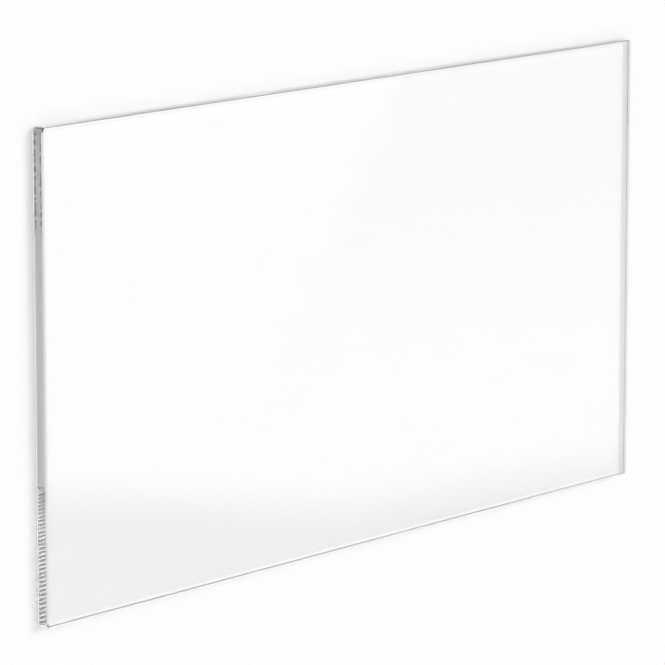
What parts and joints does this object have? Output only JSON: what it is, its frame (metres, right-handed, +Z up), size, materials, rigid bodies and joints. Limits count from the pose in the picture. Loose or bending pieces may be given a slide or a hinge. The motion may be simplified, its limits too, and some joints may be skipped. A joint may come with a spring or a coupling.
{
  "type": "clear polystyrene sheet",
  "caption": "Clear solid polystyrene sheet, a rectangular cut panel with rounded, polished edges and eased corners, for glazing, covers and display work.",
  "frame": {"origin": "middle of the back face, on the surface that the sheet lies on", "axes": "+X along the length, +Y across the width towards the edge that is uppermost in the picture, +Z up through the thickness, out of the front face"},
  "size_m": [0.58, 0.3, 0.008],
  "materials": {
    "clear_polystyrene": "polished"
  },
  "bodies": {
    "root": {"clear_sheet": "clear_polystyrene"}
  },
  "joints": []
}
